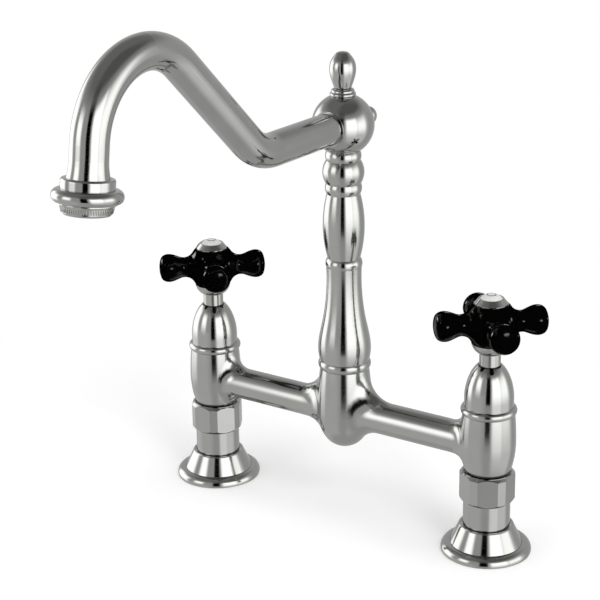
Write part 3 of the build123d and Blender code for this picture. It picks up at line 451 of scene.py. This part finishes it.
def nickel(name, stretch, roughness, scratch_depth, colour=nickel_colour, streak=0.0):
    """Brushed metal; stretch is how many scratches cross a metre along X, Y and Z.

    A streak above zero smears reflections along Z, for a piece turned about the Z axis.
    """
    material = bpy.data.materials.new(name)
    tree = new_tree(material)
    scratches = surface_noise(tree, 1.0, 4.0, stretch)
    cloud = surface_noise(tree, 60.0, 3.0)
    metal = add_node(tree, "ShaderNodeBsdfPrincipled", {
        "Metallic": 1.0,
        "Base Color": shades(tree, cloud, colour, 0.94, 1.05),
        "Roughness": calculate(
            tree, "MULTIPLY", stepped(tree, scratches, 0.8 * roughness, 1.2 * roughness),
            stepped(tree, cloud, 0.9, 1.1)),
        "Normal": bumpy(tree, scratches, scratch_depth)})
    if streak:
        around = add_node(tree, "ShaderNodeTangent", direction_type="RADIAL", axis="Z")
        feed(tree, metal.inputs["Tangent"], around.outputs[0])
        feed(tree, metal.inputs["Anisotropic"], streak)
        feed(tree, metal.inputs["Anisotropic Rotation"], quarter_turn)
    finish_tree(tree, metal.outputs[0])
    return material


turned_nickel = nickel("turned_nickel", (25, 25, 1500), 0.105, metres(0.0004))
column_nickel = nickel("column_nickel", (25, 25, 1500), 0.15, metres(0.0004), streak=0.8)
cast_nickel = nickel("cast_nickel", (60, 2500, 2500), 0.14, metres(0.0007))
tube_nickel = nickel("tube_nickel", (900, 900, 900), 0.10, metres(0.0003))
polished_nickel = nickel("polished_nickel", (30, 30, 1800), 0.085, metres(0.0006))
raw_brass = nickel("raw_brass", (60, 60, 3000), 0.24, metres(0.0015), brass_colour)
stainless = nickel("stainless", (60, 60, 2500), 0.22, metres(0.001), steel_colour)
print("nickel finishes", turned_nickel.name, column_nickel.name, cast_nickel.name)

# %% [markdown]
# ## Porcelain, ceramic, rubber and plastic
#
# The crosses are glazed black porcelain. A glaze is glass over clay: the colour sits below a
# smooth clear surface that has a faint orange peel. The other pieces are hidden or small, but
# each has its own grain all the same.


# %% Glazes and soft materials
def coated(name, colour, roughness, grain_scale, grain_depth):
    """Glaze, ceramic, rubber or plastic: one colour with a fine grain of its own."""
    material = bpy.data.materials.new(name)
    tree = new_tree(material)
    grain = surface_noise(tree, grain_scale, 3.0)
    body = add_node(tree, "ShaderNodeBsdfPrincipled", {
        "Base Color": shades(tree, grain, colour, 0.88, 1.1),
        "Roughness": stepped(tree, grain, 0.85 * roughness, 1.15 * roughness),
        "Normal": bumpy(tree, grain, grain_depth)})
    finish_tree(tree, body.outputs[0])
    return material


black_porcelain = coated("black_porcelain", (0.002,) * 3, 0.12, 260, metres(0.001))
white_porcelain = coated("white_porcelain", (0.68, 0.68, 0.66), 0.12, 260, metres(0.003))
valve_ceramic = coated("valve_ceramic", (0.80, 0.79, 0.74), 0.35, 2500, metres(0.001))
seal_rubber = coated("seal_rubber", (0.02, 0.02, 0.02), 0.6, 1800, metres(0.004))
white_plastic = coated("white_plastic", (0.62, 0.62, 0.60), 0.45, 1500, metres(0.002))
print("coated finishes", black_porcelain.name, white_porcelain.name)

# %% [markdown]
# ## Each solid piece gets its finish
#
# The record names a material slot for every solid piece, and a table turns slot names into
# the finishes above. Two pieces depart from their slot: the bent tube gets the nickel
# without a direction, and the column the one with the smeared mirror.

# %% Finish table
finishes = {
    "cast_nickel": cast_nickel, "turned_nickel": turned_nickel,
    "polished_nickel": polished_nickel, "black_porcelain": black_porcelain,
    "white_porcelain": white_porcelain, "raw_brass": raw_brass,
    "valve_ceramic": valve_ceramic, "seal_rubber": seal_rubber, "stainless": stainless,
    "white_plastic": white_plastic}
departures = {"spout_tube": tube_nickel, "spout_column": column_nickel}

for part in frame["record"]["subparts"]:
    finish = departures.get(part["node"], finishes[part["material_slot"]])
    for slot in nodes[part["node"]].material_slots:
        slot.material = finish

# %% [markdown]
# ## Starting and finishing a new piece
#
# Every new piece starts from a primitive with nothing else selected, because an operator
# acts on all that is selected. Its place goes into its mesh and its object stays at the
# origin, as the solid pieces have it. When the mesh is done, the piece gets its finish and
# the body that it moves with.


# %% Piece helpers
def start_mesh(add, name, **settings):
    """Add a primitive with nothing else selected, at the origin with its place in the mesh."""
    bpy.ops.object.select_all(action="DESELECT")
    add(**settings)
    piece = bpy.context.object
    piece.name = name
    bpy.ops.object.transform_apply(location=True, rotation=True, scale=True)
    return piece


def finish_piece(piece, body, material):
    """Smooth a new piece and give it its body and finish."""
    bpy.ops.object.shade_smooth_by_angle(angle=radians(40))
    piece.data.materials.append(material)
    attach(piece, body)
    print(piece.name, len(piece.data.polygons), "faces on", body)


print("piece helpers ready")

# %% [markdown]
# ## Grip ribs on the aerator
#
# The housing of the aerator is screwed in by hand, so its rim has a ring of fine upright ribs
# that fingertips hold. One rib is a small block with rounded edges, laid against the cone of
# the rim at its front. Spin with copies then carries it round the outlet's own axis, which
# leans eight degrees with the end of the spout.

# %% Aerator ribs
outlet_lean = radians(8)
rim_slope = radians(13.6)
rim_radius = metres(12.87)
rim_top = Vector((0, metres(-226.535), metres(256.63)))
outlet_axis = Vector((0, sin(outlet_lean), cos(outlet_lean)))
outlet_front = Vector((0, -cos(outlet_lean), sin(outlet_lean)))

rib_count = 64
rib_size = (metres(0.46), metres(0.8), metres(2.9))
rib_drop = metres(2.5)
rib_edge = metres(0.12)
rib_middle = rim_top + outlet_front * rim_radius - outlet_axis * rib_drop

ribs = start_mesh(
    bpy.ops.mesh.primitive_cube_add, "aerator_ribs", size=1, scale=rib_size,
    location=rib_middle, rotation=(rim_slope - outlet_lean, 0, 0))
bpy.ops.object.mode_set(mode="EDIT")
bpy.ops.mesh.select_all(action="SELECT")
bpy.ops.mesh.bevel(offset=rib_edge, segments=2, affect="EDGES")
bpy.ops.mesh.select_all(action="SELECT")
bpy.ops.mesh.spin(
    steps=rib_count - 1, dupli=True, angle=2 * pi * (rib_count - 1) / rib_count,
    center=rim_top, axis=outlet_axis)
bpy.ops.object.mode_set(mode="OBJECT")
finish_piece(ribs, "spout", turned_nickel)

# %% [markdown]
# ## A ring on each index disc
#
# The white porcelain buttons on top of the crosses carry only a thin grey ring, fired into
# the glaze. It starts as a circle of edges, which is extruded outwards and lowered to follow
# the crown of the button, and Solidify gives it the thickness of a coat of enamel.

# %% Index rings
leg_x = {"left": metres(-101.6), "right": metres(101.6)}
button_top = metres(163.1)
crown_radius = metres(9.425)
ring_inner, ring_outer = metres(2.3), metres(2.85)
ring_coat = metres(0.06)
ring_spread = ring_outer / ring_inner
grey_enamel = coated("grey_enamel", (0.10, 0.10, 0.10), 0.2, 900, metres(0.002))


def crown_height(radius):
    """Height of the button's round crown at a distance from its middle."""
    return button_top - crown_radius + sqrt(crown_radius ** 2 - radius ** 2)


for side_name, x in leg_x.items():
    ring = start_mesh(
        bpy.ops.mesh.primitive_circle_add, "index_ring_" + side_name, vertices=64,
        radius=ring_inner, location=(x, 0, crown_height(ring_inner) + ring_coat))
    bpy.ops.object.mode_set(mode="EDIT")
    bpy.ops.mesh.select_all(action="SELECT")
    bpy.ops.mesh.extrude_edges_move(TRANSFORM_OT_translate={
        "value": (0, 0, crown_height(ring_outer) - crown_height(ring_inner))})
    bpy.ops.transform.resize(
        value=(ring_spread, ring_spread, 1), center_override=(x, 0, crown_height(ring_outer)))
    bpy.ops.mesh.select_all(action="SELECT")
    bpy.ops.mesh.normals_make_consistent(inside=False)
    bpy.ops.object.mode_set(mode="OBJECT")
    coat = ring.modifiers.new("coat", "SOLIDIFY")
    coat.thickness, coat.offset = 2 * ring_coat, -1
    bpy.ops.object.modifier_apply(modifier=coat.name)
    finish_piece(ring, "handle_" + side_name, grey_enamel)
